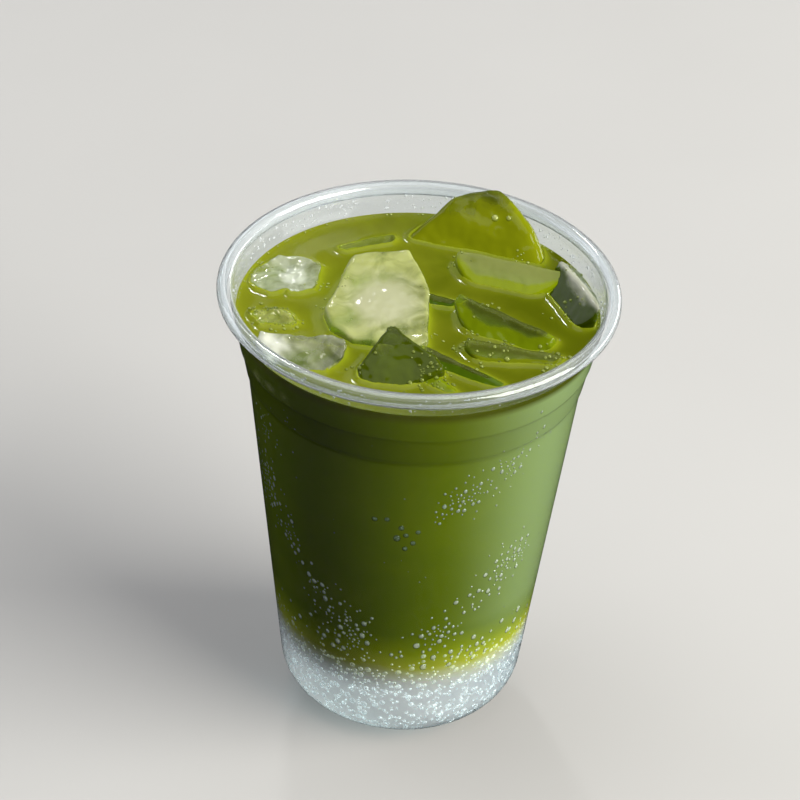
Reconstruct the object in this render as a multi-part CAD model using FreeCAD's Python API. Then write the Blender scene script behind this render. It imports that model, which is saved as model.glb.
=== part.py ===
import FreeCAD, Part
import math
import os
from FreeCAD import Placement, Rotation, Vector

# A clear plastic cup with a rolled rim, filled with a two-layer iced drink: pale sparkling tonic
# below, green matcha above, and pieces of half-moon ice standing out of the surface.
# Millimetres, +Z up. The origin is the centre of the circle that the cup stands on.

# Cup
height = 121.0
rim_diameter = 98.0
curl_radius = 1.9          # outer radius of the rolled lip's tube
curl_sweep = 290.0         # degrees of tube, from the inner wall over the top and back under
wall = 0.4
standing_radius = 19.0     # outer radius of the flat ring that the cup stands on
standing_width = 3.0
corner_radius = 12.0       # between the standing ring and the side wall
push_up = 2.5              # how far the middle of the base is raised
push_up_slope = 3.0        # radial run of the slope up to the raised middle
lip_band = 16.0            # from the top down to the upper ledge
stack_band = 7.5           # between the two stacking ledges
lip_flare = 0.16           # radius gained for each millimetre up, above the upper ledge
stack_flare = 0.20         # the same between the ledges
ledge_step = 0.45          # how far each ledge stands out
ledge_rise = 0.6

# Drink
headspace = 8.5            # from the top down to the drink's surface
tonic_top = 28.0           # height of the boundary between the two layers
meniscus_climb = 0.8       # how far the surface climbs the wall
meniscus_reach = 2.2       # how far from the wall it starts to climb

# Ice
melt_radius = 1.0          # rounding that melting gives the edges
side_draft = 5.0           # degrees by which a crescent narrows from its top face
tip_share = 0.3            # thickness of a crescent's ends, as a share of its depth
wall_clearance = 1.0       # the gap that melting leaves between the ice and the cup
corner_wander = 0.3        # how far a chip's corners stray along its outline, as a share of their spacing
reach_wander = 0.07        # how far they stray in and out, as a share of its size

rim_radius = rim_diameter / 2
mouth_radius = rim_radius - 2 * curl_radius
curl_height = height - curl_radius
drink_level = height - headspace


def side_radii(inset):
    """Radius and height of each corner of the upper side wall, from the lower ledge to the curl."""
    upper_ledge = height - lip_band
    lower_ledge = upper_ledge - stack_band
    top = mouth_radius + wall
    above_upper = top - lip_flare * (curl_height - upper_ledge)
    below_upper = above_upper - ledge_step
    above_lower = below_upper - stack_flare * (stack_band - ledge_rise)
    below_lower = above_lower - ledge_step
    corners = [
        (below_lower, lower_ledge - ledge_rise),
        (above_lower, lower_ledge),
        (below_upper, upper_ledge - ledge_rise),
        (above_upper, upper_ledge),
        (top, curl_height),
    ]
    return [(radius - inset, level) for radius, level in corners]


def wall_lean(inset):
    """Angle from vertical of the side wall, which runs from the foot's corner arc to the lower ledge."""
    radius, level = side_radii(inset)[0]
    run, rise = radius - standing_radius, level - corner_radius
    return math.atan2(run, rise) - math.asin((corner_radius - inset) / math.hypot(run, rise))


def corner_arc(inset):
    """Start, middle and end of the arc between the base and the side wall."""
    lean = wall_lean(inset)
    turns = (-math.pi / 2, -(math.pi / 2 + lean) / 2, -lean)
    size = corner_radius - inset
    return [
        (standing_radius + size * math.cos(turn), corner_radius + size * math.sin(turn))
        for turn in turns
    ]


def wall_radius(level, inset):
    """Radius of the side wall at a height above the foot's corner."""
    stations = [corner_arc(inset)[-1]] + side_radii(inset)
    for (low_radius, low), (high_radius, high) in zip(stations, stations[1:]):
        if level <= high:
            return low_radius + (high_radius - low_radius) * (level - low) / (high - low)
    return stations[-1][0]


def point(spot):
    return Vector(spot[0], 0, spot[1])


def line(start, end):
    return Part.LineSegment(point(start), point(end)).toShape()


def arc(start, middle, end):
    return Part.Arc(point(start), point(middle), point(end)).toShape()


def polyline(spots):
    return [line(start, end) for start, end in zip(spots, spots[1:])]


def turned(edges):
    """The solid made by turning a closed outline in the XZ plane about Z."""
    outline = Part.Wire(Part.__sortEdges__(edges))
    return Part.Face(outline).revolve(Vector(0, 0, 0), Vector(0, 0, 1), 360)


def base_line(inset):
    """The underside of the cup, or its inner face, from the axis out to the foot's corner."""
    ring_start = standing_radius - standing_width
    return [
        (0, push_up + inset),
        (ring_start - push_up_slope, push_up + inset),
        (ring_start, inset),
        (standing_radius, inset),
    ]


def make_cup():
    def on_curl(radius, degrees):
        turn = math.radians(degrees)
        centre = rim_radius - curl_radius
        return (centre + radius * math.cos(turn), curl_height + radius * math.sin(turn))

    end = 180 - curl_sweep
    half = 180 - curl_sweep / 2
    bore = curl_radius - wall
    edges = polyline(base_line(0)) + [arc(*corner_arc(0))]
    edges += polyline([corner_arc(0)[-1]] + side_radii(0))
    edges += [arc(on_curl(bore, 180), on_curl(bore, half), on_curl(bore, end))]
    edges += [line(on_curl(bore, end), on_curl(curl_radius, end))]
    edges += [arc(on_curl(curl_radius, end), on_curl(curl_radius, half), on_curl(curl_radius, 180))]
    edges += polyline([corner_arc(wall)[-1]] + side_radii(wall))
    edges += [arc(*corner_arc(wall))] + polyline(base_line(wall))
    edges += [line((0, push_up), (0, push_up + wall))]
    return turned(edges)


def make_tonic():
    shore = (wall_radius(tonic_top, wall), tonic_top)
    edges = polyline(base_line(wall)) + [arc(*corner_arc(wall))]
    edges += polyline([corner_arc(wall)[-1], shore, (0, tonic_top), (0, push_up + wall)])
    return turned(edges)


def make_matcha(ice):
    """The green layer, with the ice cut out of it and a rim that climbs the wall."""
    climb_top = drink_level + meniscus_climb
    shore = (wall_radius(climb_top, wall), climb_top)
    flat_edge = (shore[0] - meniscus_reach, drink_level)
    dip = (shore[0] - 0.3 * meniscus_reach, drink_level + 0.28 * meniscus_climb)
    ledges = [spot for spot in side_radii(wall) if tonic_top < spot[1] < climb_top]
    edges = polyline([(0, tonic_top), (wall_radius(tonic_top, wall), tonic_top)] + ledges + [shore])
    edges += [arc(shore, dip, flat_edge)]
    edges += polyline([flat_edge, (0, drink_level), (0, tonic_top)])
    body = turned(edges)
    for piece in ice:
        body = body.cut(piece)
    return body


def half_moon(length, depth, thickness):
    """A crescent of ice whose top is a half moon: its straight edge lies on X, its belly towards -Y."""
    draft = thickness * math.tan(math.radians(side_draft))

    def outline(shrink, level):
        half = length / 2 - shrink
        tip = tip_share * depth
        near, far = Vector(-half, 0, level), Vector(half, 0, level)
        near_tip, far_tip = near - Vector(0, tip, 0), far - Vector(0, tip, 0)
        belly = Vector(0, shrink - depth, level)
        return Part.Wire([
            Part.LineSegment(near, far).toShape(),
            Part.LineSegment(far, far_tip).toShape(),
            Part.Arc(far_tip, belly, near_tip).toShape(),
            Part.LineSegment(near_tip, near).toShape(),
        ])

    block = Part.makeLoft([outline(0, 0), outline(draft, -thickness)], True, True)
    return block.makeFillet(min(melt_radius, 0.4 * tip_share * depth), block.Edges)


def chip_outline(width, depth, corners, taper, boxy, start):
    """Corners of a chip seen from above: uneven, boxier as boxy falls below 1, and narrower towards
    the back by taper. Chips with another start are broken differently."""
    ring = []
    for corner in range(corners):
        wander = corner_wander * math.sin(start + 2.4 * corner)
        reach = 1 + reach_wander * math.sin(2 * start + 1.7 * corner)
        turn = 2 * math.pi * (corner + 0.5 + wander) / corners
        side, back = math.sin(turn), math.cos(turn)
        side = math.copysign(abs(side) ** boxy, side) * reach
        back = math.copysign(abs(back) ** boxy, back) * reach
        ring.append(Vector(width / 2 * side * (1 - taper * back), depth / 2 * back, 0))
    return ring


def chip(size, thickness):
    """A piece of ice broken off a block, with its top at Z 0."""
    ring = chip_outline(*size)
    slice_face = Part.Face(Part.makePolygon(ring + ring[:1]))
    block = slice_face.extrude(Vector(0, 0, -thickness))
    return block.makeFillet(melt_radius, block.Edges)


def placed(shape, around, out, above, yaw, pitch, tilt):
    """Turns a piece by tilt about X, lifts its +X end by pitch, heads it by yaw, and floats it at a
    share out of the drink's surface radius, around degrees to the right of the front."""
    reach = out * wall_radius(drink_level, wall)
    bearing = math.radians(around)
    turn = Rotation(Vector(0, 0, 1), yaw)
    turn = turn * Rotation(Vector(0, 1, 0), -pitch) * Rotation(Vector(1, 0, 0), tilt)
    spot = Vector(reach * math.sin(bearing), -reach * math.cos(bearing), drink_level + above)
    shape.Placement = Placement(spot, turn)
    return shape


# Crescents, as (length, depth, thickness) and (around, out, above, yaw, pitch, tilt).
crescents = {
    "ice_back_half_moon": ((28, 11, 12), (130, 0.65, 5, -15, 0, 35)),
    "ice_right": ((24, 12, 11), (100, 0.9, 6.5, -65, 0, 50)),
    "ice_middle_half_moon": ((28, 10, 11), (75, 0.5, 5, -30, -5, 40)),
    "ice_middle_shard": ((12, 6, 8), (145, 0.15, 2, -15, 0, 40)),
    "ice_right_blade": ((24, 8, 8), (55, 0.65, 3, -5, -5, 35)),
    "ice_front_dark": ((24, 7, 11), (25, 0.6, 2.5, -30, -5, 40)),
    "ice_front_crescent": ((15, 7, 10), (10, 0.65, 1.5, -45, 0, 25)),
    "ice_front_left": ((22, 13, 12), (-55, 0.75, 5.5, -5, 0, 30)),
    "ice_back_blade": ((16, 6, 7), (-155, 0.75, 1.5, 25, 0, 30)),
}

# Chips, as (width, depth, corners, taper, boxy, start), thickness and the same placing.
chips = {
    "ice_slab": ((25, 36, 10, 0.2, 0.75, 1), 12, (-85, 0.2, 5, 0, 0, 10)),
    "ice_back_tall": ((36, 28, 9, 0.55, 0.95, 4), 13, (155, 0.75, 1, -15, 0, 45)),
    "ice_front_peak": ((18, 20, 7, 0.75, 1, 6), 12, (-10, 0.6, 3.5, 5, 10, 30)),
    "ice_left": ((20, 18, 8, 0, 0.9, 3), 10, (-110, 0.8, 1, 0, 0, 5)),
    "ice_left_low": ((14, 8, 6, 0, 0.8, 5), 9, (-80, 0.8, 1, 0, 0, 5)),
}
ice_order = [
    "ice_slab", "ice_back_tall", "ice_left", "ice_back_half_moon", "ice_right", "ice_middle_half_moon",
    "ice_middle_shard", "ice_right_blade", "ice_front_dark", "ice_front_crescent", "ice_front_peak",
    "ice_front_left", "ice_left_low", "ice_back_blade",
]


def melt_room():
    """The space inside the cup that the ice keeps to, a little clear of the wall."""
    inset = wall + wall_clearance
    top = (mouth_radius - wall_clearance, height)
    spill = (top[0], height + mouth_radius)
    corners = [corner_arc(inset)[-1]] + side_radii(inset)[:-1] + [top, spill, (0, spill[1])]
    return turned(polyline(corners + [(0, corner_arc(inset)[-1][1]), corner_arc(inset)[-1]]))


def make_ice():
    """Every piece of ice by name, kept clear of the wall and cut to the pieces before it."""
    room = melt_room()
    made = {}
    for name in ice_order:
        if name in crescents:
            size, place = crescents[name]
            piece = half_moon(*size)
        else:
            size, thickness, place = chips[name]
            piece = chip(size, thickness)
        piece = placed(piece, *place).common(room)
        for other in made.values():
            piece = piece.cut(other)
        made[name] = piece
    return made


def main():
    os.makedirs("parts", exist_ok=True)
    nodes = make_ice()
    nodes["matcha"] = make_matcha(list(nodes.values()))
    nodes["tonic"] = make_tonic()
    nodes["cup"] = make_cup()
    for name, shape in nodes.items():
        shape.exportStep(f"parts/{name}.step")
        print(name, shape.ShapeType, len(shape.Solids), "solids", shape.isValid(), round(shape.Volume), "mm3")


main()
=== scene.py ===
import math

import bmesh
import bpy
import numpy as np
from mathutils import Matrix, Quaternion, Vector, noise
from mathutils.bvhtree import BVHTree
from mathutils.kdtree import KDTree


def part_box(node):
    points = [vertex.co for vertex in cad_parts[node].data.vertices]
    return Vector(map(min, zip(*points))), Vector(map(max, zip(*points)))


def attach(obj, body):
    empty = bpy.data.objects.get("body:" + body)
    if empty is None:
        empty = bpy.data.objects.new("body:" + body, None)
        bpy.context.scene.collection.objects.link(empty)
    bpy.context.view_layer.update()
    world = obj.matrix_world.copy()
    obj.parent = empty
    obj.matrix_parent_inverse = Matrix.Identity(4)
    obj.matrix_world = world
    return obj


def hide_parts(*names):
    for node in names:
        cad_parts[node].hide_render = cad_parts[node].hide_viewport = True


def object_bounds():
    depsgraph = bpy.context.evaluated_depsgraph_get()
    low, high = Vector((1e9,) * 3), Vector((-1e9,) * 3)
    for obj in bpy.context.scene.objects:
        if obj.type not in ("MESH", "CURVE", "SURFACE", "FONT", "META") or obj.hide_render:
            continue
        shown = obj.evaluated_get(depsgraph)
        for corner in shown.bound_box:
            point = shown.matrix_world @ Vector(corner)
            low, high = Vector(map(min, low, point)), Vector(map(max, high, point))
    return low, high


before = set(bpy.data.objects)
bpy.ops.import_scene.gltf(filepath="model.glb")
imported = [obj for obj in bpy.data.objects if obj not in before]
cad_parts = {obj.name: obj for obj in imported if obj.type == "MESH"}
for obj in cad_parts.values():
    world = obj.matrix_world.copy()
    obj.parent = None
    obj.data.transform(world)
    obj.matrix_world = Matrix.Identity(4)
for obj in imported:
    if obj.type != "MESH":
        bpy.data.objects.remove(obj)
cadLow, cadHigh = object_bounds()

mm = 0.001
scene = bpy.context.scene


# small helpers

def colour(hexText):
    parts = [int(hexText[i:i + 2], 16) / 255 for i in (1, 3, 5)]
    return tuple(c / 12.92 if c <= 0.04045 else ((c + 0.055) / 1.055) ** 2.4 for c in parts) + (1.0,)


def addNode(tree, kind, settings=None, links=None):
    node = tree.nodes.new(kind)
    for name, value in (settings or {}).items():
        if isinstance(name, str) and hasattr(node, name):
            setattr(node, name, value)
        else:
            node.inputs[name].default_value = value
    for name, source in (links or {}).items():
        tree.links.new(source, node.inputs[name])
    return node


def newMaterial(name):
    material = bpy.data.materials.new(name)
    material.use_nodes = True
    material.node_tree.nodes.clear()
    return material, material.node_tree


def finishMaterial(tree, surface):
    addNode(tree, "ShaderNodeOutputMaterial", links={"Surface": surface})


def pieceFromMesh(name, mesh, material, smooth=True):
    piece = bpy.data.objects.new(name, mesh)
    scene.collection.objects.link(piece)
    mesh.materials.clear()
    mesh.materials.append(material)
    mesh.polygons.foreach_set("use_smooth", [smooth] * len(mesh.polygons))
    return piece


def evaluatedMesh(piece):
    graph = bpy.context.evaluated_depsgraph_get()
    graph.update()
    return bpy.data.meshes.new_from_object(piece.evaluated_get(graph))


def markPoints(mesh, label, values):
    # one number for each point of a mesh
    store = mesh.attributes.new(label, "FLOAT", "POINT")
    store.data.foreach_set("value", [float(value) for value in values])


def nearestOf(points):
    tree = KDTree(len(points))
    for i, point in enumerate(points):
        tree.insert(point, i)
    tree.balance()
    return tree


def solidTree(piece):
    mesh = piece.data
    return BVHTree.FromPolygons([v.co for v in mesh.vertices], [f.vertices for f in mesh.polygons])


def belong(piece, nodes=()):
    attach(piece, "root")
    if nodes:
        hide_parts(*nodes)
    return piece


# camera, light and floor

camera = {"place": (0, -0.7157, 0.5887), "aim": (-0.0033, 0, 0.0863), "roll": 2.94, "lens": 159.3}


def makeCamera():
    data = bpy.data.cameras.new("viewCamera")
    data.lens = camera["lens"]
    data.sensor_width = 36
    data.clip_end = 20
    holder = bpy.data.objects.new("viewCamera", data)
    place = Vector(camera["place"])
    look = (Vector(camera["aim"]) - place).to_track_quat("-Z", "Y")
    holder.rotation_mode = "QUATERNION"
    holder.rotation_quaternion = look @ Quaternion((0, 0, 1), math.radians(camera["roll"]))
    holder.location = place
    scene.collection.objects.link(holder)
    scene.camera = holder


lamps = {
    "windowRight": {"place": (1.35, -0.52, 1.05), "size": (1.5, 1.2), "power": 58, "tint": "#fffdf6"},
    "ceiling": {"place": (-0.1, 0.2, 1.8), "size": (1.6, 1.6), "power": 14, "tint": "#fbfcff"},
    "wallBehind": {"place": (-0.95, 1.5, 1.1), "size": (1.8, 0.9), "power": 4.5, "tint": "#f4f8ff"},
    "fillLeft": {"place": (-1.3, 0.35, 0.6), "size": (1.2, 0.9), "power": 6, "tint": "#f8faff"},
    "lowStrip": {"place": (1.1, 0.8, 0.15), "size": (1.2, 0.24), "power": 6, "tint": "#ffffff"},
    "glint": {"place": (-0.2, 0.95, 1.0), "size": (0.1, 0.1), "power": 2.2, "tint": "#ffffff"},
}


surroundings = {"tint": "#e8eef4", "strength": 0.006}


def makeLamps():
    for name, lamp in lamps.items():
        data = bpy.data.lights.new(name, "AREA")
        data.shape = "RECTANGLE"
        data.size, data.size_y = lamp["size"]
        data.energy = lamp["power"]
        data.color = colour(lamp["tint"])[:3]
        holder = bpy.data.objects.new(name, data)
        holder.location = lamp["place"]
        aim = Vector((0, 0, 0.08)) - holder.location
        holder.rotation_euler = aim.to_track_quat("-Z", "Y").to_euler()
        scene.collection.objects.link(holder)
    world = bpy.data.worlds.new("studio")
    world.use_nodes = True
    background = world.node_tree.nodes["Background"]
    background.inputs["Color"].default_value = colour(surroundings["tint"])
    background.inputs["Strength"].default_value = surroundings["strength"]
    scene.world = world
    scene.view_settings.view_transform = "Standard"
    scene.cycles.max_bounces = 16
    scene.cycles.transmission_bounces = 12
    scene.cycles.transparent_max_bounces = 24
    scene.cycles.caustics_reflective = False
    scene.cycles.caustics_refractive = False


floorPaint = {"half": 4.0, "darker": "#b7b6b4", "lighter": "#bdbcba", "mottle": 111.1 * mm}


def makeFloor():
    material, tree = newMaterial("paleMattPaint")  # rolled matt paint: even, with a faint mottle
    place = addNode(tree, "ShaderNodeTexCoord").outputs["Object"]
    mottle = addNode(tree, "ShaderNodeTexNoise", {"Scale": 1 / floorPaint["mottle"], "Detail": 3},
                     {"Vector": place})
    ramp = addNode(tree, "ShaderNodeValToRGB", links={"Fac": mottle.outputs["Fac"]})
    for stop, name in zip(ramp.color_ramp.elements, ("darker", "lighter")):
        stop.color = colour(floorPaint[name])
    paint = addNode(tree, "ShaderNodeBsdfPrincipled", {"Roughness": 0.8},
                    {"Base Color": ramp.outputs["Color"]})
    finishMaterial(tree, paint.outputs["BSDF"])
    mesh = bpy.data.meshes.new("floor")
    half = floorPaint["half"]
    corners = [(-half, -half, 0), (half, -half, 0), (half, half, 0), (-half, half, 0)]
    mesh.from_pydata(corners, [], [(0, 1, 2, 3)])
    floor = pieceFromMesh("floor", mesh, material, smooth=False)
    floor.visible_glossy = False


# the cup's outline, which the drink shares

cup = {
    "wall": 0.4 * mm,
    "curlRadius": 1.9 * mm,
    "curlSweep": 290,       # degrees that the rim is rolled, and that its rounded edge goes on
    "edgeTurn": 6,
    "standingRadius": 19 * mm,
    "standingWidth": 3 * mm,
    "cornerRadius": 12 * mm,
    "pushUp": 2.5 * mm,
    "pushUpSlope": 3 * mm,
    "lipBand": 16 * mm,
    "stackBand": 7.5 * mm,
    "lipFlare": 0.16,
    "stackFlare": 0.20,
    "ledgeStep": 0.45 * mm,
    "ledgeRise": 0.6 * mm,
    "ringEdge": 0.5 * mm,   # the standing ring's outer edge
    "softening": 0.6 * mm,  # how far the outline's corners are rounded
    "footSteps": 16,
    "segments": 224,
    "fog": 0.15,            # how much of the wall's gloss is blurred by cold fog
    "lipPaintedShine": 0.24,
    "lipStart": 4.6 * mm,   # the painted highlight on the lip begins and is full between these depths below the top
    "lipFull": 2.6 * mm,
    "ringGap": 0.5 * mm,
}
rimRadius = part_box("cup")[1].x
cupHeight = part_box("cup")[1].z
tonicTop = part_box("tonic")[1].z
meniscusClimb = 0.8 * mm
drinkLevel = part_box("matcha")[1].z - meniscusClimb
outlineStep = 1.6 * mm
intoWall = 0.12 * mm  # how far the drink reaches into the plastic, so that no air shows between them


def sideCorners(inset, ease=1):
    curlHeight = cupHeight - cup["curlRadius"]
    upper = cupHeight - cup["lipBand"]
    lower = upper - cup["stackBand"]
    top = rimRadius - 2 * cup["curlRadius"] + cup["wall"]
    aboveUpper = top - cup["lipFlare"] * (curlHeight - upper)
    belowUpper = aboveUpper - cup["ledgeStep"]
    aboveLower = belowUpper - cup["stackFlare"] * (cup["stackBand"] - cup["ledgeRise"])
    belowLower = aboveLower - cup["ledgeStep"]
    rise = cup["ledgeRise"] * ease
    corners = [(belowLower, lower - rise), (aboveLower, lower)]
    corners += [(belowUpper, upper - rise), (aboveUpper, upper), (top, curlHeight)]
    return [(radius - inset, level) for radius, level in corners]


def wallOutline(inset, ease=1):
    # from the middle of the base to the standing ring, round the foot and up the side
    ring = cup["standingRadius"] - cup["standingWidth"]
    base = [(0, cup["pushUp"] + inset), (ring - cup["pushUpSlope"], cup["pushUp"] + inset)]
    base += [(ring, inset), (cup["standingRadius"] - cup["ringEdge"], inset)]
    side = sideCorners(inset, ease)
    run, rise = side[0][0] - cup["standingRadius"], side[0][1] - cup["cornerRadius"]
    size = cup["cornerRadius"] - inset
    lean = math.atan2(run, rise) - math.asin(size / math.hypot(run, rise))
    foot = []
    for i in range(cup["footSteps"] + 1):
        turn = -math.pi / 2 + (math.pi / 2 - lean) * i / cup["footSteps"]
        out, up = size * math.cos(turn), size * math.sin(turn)
        foot.append((cup["standingRadius"] + out, cup["cornerRadius"] + up))
    lower = softened(base + foot[:1], cup["softening"])
    upper = softened(foot[-1:] + side, cup["softening"])
    return lower[:-1] + foot + upper[1:]


def softened(points, radius, steps=3):
    made = [points[0]]
    for before, corner, after in zip(points, points[1:], points[2:]):
        before, corner, after = (Vector(p) for p in (before, corner, after))
        start = corner + (before - corner).normalized() * min(radius, (before - corner).length * 0.45)
        end = corner + (after - corner).normalized() * min(radius, (after - corner).length * 0.45)
        for i in range(steps + 1):
            t = i / steps
            made.append(tuple(start * (1 - t) ** 2 + corner * 2 * t * (1 - t) + end * t * t))
    return made + [points[-1]]


def evened(points, step):
    made = [points[0]]
    for a, b in zip(points, points[1:]):
        a, b = Vector(a), Vector(b)
        count = max(1, math.ceil((b - a).length / step))
        made += [tuple(a.lerp(b, i / count)) for i in range(1, count + 1)]
    return made


def cutAbove(points, level):
    kept = [p for p in points if p[1] <= level + 1e-9]
    following = points[len(kept)]
    share = (level - kept[-1][1]) / (following[1] - kept[-1][1])
    return kept + [(kept[-1][0] + share * (following[0] - kept[-1][0]), level)]


def drinkOutline():
    # the drink's side, just inside the plastic, with gentler steps than the cup's
    return wallOutline(cup["wall"] - intoWall, ease=2.6)


def radiusAt(level, inset):
    return cutAbove(wallOutline(inset), level)[-1][0]


def newTree(name, counts):
    # a Geometry Nodes tree that takes a mesh, some named counts and a finish
    tree = bpy.data.node_groups.new(name, "GeometryNodeTree")
    sockets = [("Geometry", "INPUT", "Geometry"), *((label, "INPUT", "Int") for label in counts),
               ("Finish", "INPUT", "Material"), ("Geometry", "OUTPUT", "Geometry")]
    for label, side, kind in sockets:
        tree.interface.new_socket(label, in_out=side, socket_type="NodeSocket" + kind)
    return tree, addNode(tree, "NodeGroupInput")


def finishTree(tree, start, geometry):
    real = addNode(tree, "GeometryNodeRealizeInstances", links={"Geometry": geometry})
    smooth = addNode(tree, "GeometryNodeSetShadeSmooth", links={"Geometry": real.outputs[0]})
    finish = addNode(tree, "GeometryNodeSetMaterial", links={
        "Geometry": smooth.outputs[0], "Material": start.outputs["Finish"]})
    addNode(tree, "NodeGroupOutput", links={"Geometry": finish.outputs[0]})
    return tree


def buildTurningTree():
    # a chain of points is turned about the upright axis: each becomes a ring
    tree, start = newTree("turnedOutline", ["Segments"])
    size = addNode(tree, "GeometryNodeAttributeDomainSize", links={"Geometry": start.outputs["Geometry"]})
    closing = addNode(tree, "ShaderNodeMath", {"operation": "ADD", 1: 1.0}, {0: start.outputs["Segments"]})
    grid = addNode(tree, "GeometryNodeMeshGrid", links={
        "Vertices X": size.outputs["Point Count"], "Vertices Y": closing.outputs[0]})
    index = addNode(tree, "GeometryNodeInputIndex")
    along = addNode(tree, "ShaderNodeMath", {"operation": "DIVIDE"},
                    {0: index.outputs[0], 1: closing.outputs[0]})
    row = addNode(tree, "ShaderNodeMath", {"operation": "FLOOR"}, {0: along.outputs[0]})
    around = addNode(tree, "ShaderNodeMath", {"operation": "MODULO"},
                     {0: index.outputs[0], 1: closing.outputs[0]})
    share = addNode(tree, "ShaderNodeMath", {"operation": "DIVIDE"},
                    {0: around.outputs[0], 1: start.outputs["Segments"]})
    turn = addNode(tree, "ShaderNodeMath", {"operation": "MULTIPLY", 1: 2 * math.pi}, {0: share.outputs[0]})
    here = addNode(tree, "GeometryNodeInputPosition")
    outline = addNode(tree, "GeometryNodeSampleIndex", {"data_type": "FLOAT_VECTOR"}, {
        "Geometry": start.outputs["Geometry"], "Value": here.outputs[0], "Index": row.outputs[0]})
    spun = addNode(tree, "ShaderNodeVectorRotate", {"rotation_type": "Z_AXIS"}, {
        "Vector": outline.outputs[0], "Angle": turn.outputs[0]})
    moved = addNode(tree, "GeometryNodeSetPosition", links={
        "Geometry": grid.outputs["Mesh"], "Position": spun.outputs[0]})
    joined = addNode(tree, "GeometryNodeMergeByDistance", {"Distance": 1e-6},
                     {"Geometry": moved.outputs[0]})
    return finishTree(tree, start, joined.outputs[0])


def runTree(name, mesh, tree, inputs, material):
    holder = pieceFromMesh(name, mesh, material)
    modifier = holder.modifiers.new("nodes", "NODES")
    modifier.node_group = tree
    for item in tree.interface.items_tree:
        if item.in_out == "INPUT" and item.name in inputs:
            modifier[item.identifier] = inputs[item.name]
    made = evaluatedMesh(holder)
    holder.modifiers.clear()
    holder.data = made
    return holder


def turnedPiece(name, outline, tree, material):
    chain = bpy.data.meshes.new(name)
    chain.from_pydata([(radius, 0, level) for radius, level in outline],
                      [(i, i + 1) for i in range(len(outline) - 1)], [])
    piece = runTree(name, chain, tree, {"Segments": cup["segments"], "Finish": material}, material)
    faceOutwards(piece.data)
    piece.data.set_sharp_from_angle(angle=math.radians(50))
    return piece


def faceOutwards(mesh):
    work = bmesh.new()
    work.from_mesh(mesh)
    bmesh.ops.remove_doubles(work, verts=work.verts, dist=1e-7)
    bmesh.ops.dissolve_degenerate(work, dist=1e-8, edges=work.edges)
    bmesh.ops.recalc_face_normals(work, faces=work.faces)
    work.to_mesh(mesh)
    work.free()


def passLight(tree, surface, tint):
    # lamps reach what lies behind the clear stuff, tinted by it
    clear = addNode(tree, "ShaderNodeBsdfTransparent", {"Color": colour(tint)})
    path = addNode(tree, "ShaderNodeLightPath")
    return addNode(tree, "ShaderNodeMixShader", links={
        0: path.outputs["Is Shadow Ray"], 1: surface, 2: clear.outputs[0]}).outputs[0]


def clearPlastic():
    material, tree = newMaterial("clearPet")
    # thermoformed PET: clear and glossy, with a faint fog on the cold outside
    glass = addNode(tree, "ShaderNodeBsdfGlass", {"IOR": 1.5, "Roughness": 0.0, "Color": colour("#f6f9fa")})
    fog = addNode(tree, "ShaderNodeBsdfGlossy", {"Roughness": 0.3, "Color": colour("#ffffff")})
    fresnel = addNode(tree, "ShaderNodeFresnel", {"IOR": 1.5})
    sheen = addNode(tree, "ShaderNodeMath", {"operation": "MULTIPLY", 1: cup["fog"]},
                    {0: fresnel.outputs[0]})
    fogged = addNode(tree, "ShaderNodeMixShader", links={
        0: sheen.outputs[0], 1: glass.outputs[0], 2: fog.outputs[0]})
    # painted highlight: the rolled lip is whitened in rings, standing in for its bright reflections
    place = addNode(tree, "ShaderNodeTexCoord").outputs["Object"]
    spot = addNode(tree, "ShaderNodeSeparateXYZ", links={"Vector": place})
    flat = addNode(tree, "ShaderNodeVectorMath", {"operation": "MULTIPLY", 1: (1, 1, 0)}, {0: place})
    fromMiddle = addNode(tree, "ShaderNodeVectorMath", {"operation": "LENGTH"}, {0: flat.outputs[0]})
    rings = addNode(tree, "ShaderNodeTexNoise", {
        "noise_dimensions": "1D", "Scale": 1 / cup["ringGap"], "Detail": 1},
        {"W": fromMiddle.outputs["Value"]})
    ringed = addNode(tree, "ShaderNodeMapRange", {
        "From Min": 0.4, "From Max": 0.65, "To Min": 0.02, "To Max": cup["lipPaintedShine"]},
        {"Value": rings.outputs["Fac"]})
    onLip = addNode(tree, "ShaderNodeMapRange", {
        "From Min": cupHeight - cup["lipStart"], "From Max": cupHeight - cup["lipFull"]},
        {"Value": spot.outputs["Z"]})
    lipShare = addNode(tree, "ShaderNodeMath", {"operation": "MULTIPLY"}, {
        0: onLip.outputs[0], 1: ringed.outputs[0]})
    lipShine = addNode(tree, "ShaderNodeBsdfPrincipled", {
        "Base Color": colour("#f4f7f8"), "Roughness": 0.25, "Transmission Weight": 0.2})
    lipped = addNode(tree, "ShaderNodeMixShader", links={
        0: lipShare.outputs[0], 1: fogged.outputs[0], 2: lipShine.outputs[0]})
    finishMaterial(tree, passLight(tree, lipped.outputs[0], "#ffffff"))
    return material


def makeCup(tree):
    # up the outside, round the rolled rim to its hidden edge, back round it and down the inside
    centre = (rimRadius - cup["curlRadius"], cupHeight - cup["curlRadius"])

    def curl(radius, start, end, steps):
        turns = [math.radians(start + (end - start) * i / steps) for i in range(steps + 1)]
        return [(centre[0] + radius * math.cos(t), centre[1] + radius * math.sin(t)) for t in turns]

    end = 180 - cup["curlSweep"]
    bore = cup["curlRadius"] - cup["wall"]
    lip = curl((bore + cup["curlRadius"]) / 2, end - cup["edgeTurn"], end - cup["edgeTurn"], 1)[:1]
    outline = wallOutline(0)[:-1] + curl(bore, 180, end, 40) + lip + curl(cup["curlRadius"], end, 180, 48)
    outline += wallOutline(cup["wall"])[::-1][1:]
    piece = turnedPiece("cupShell", evened(outline, outlineStep), tree, clearPlastic())
    return belong(piece, ["cup"])


# the drink's colours, which both layers share

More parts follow.
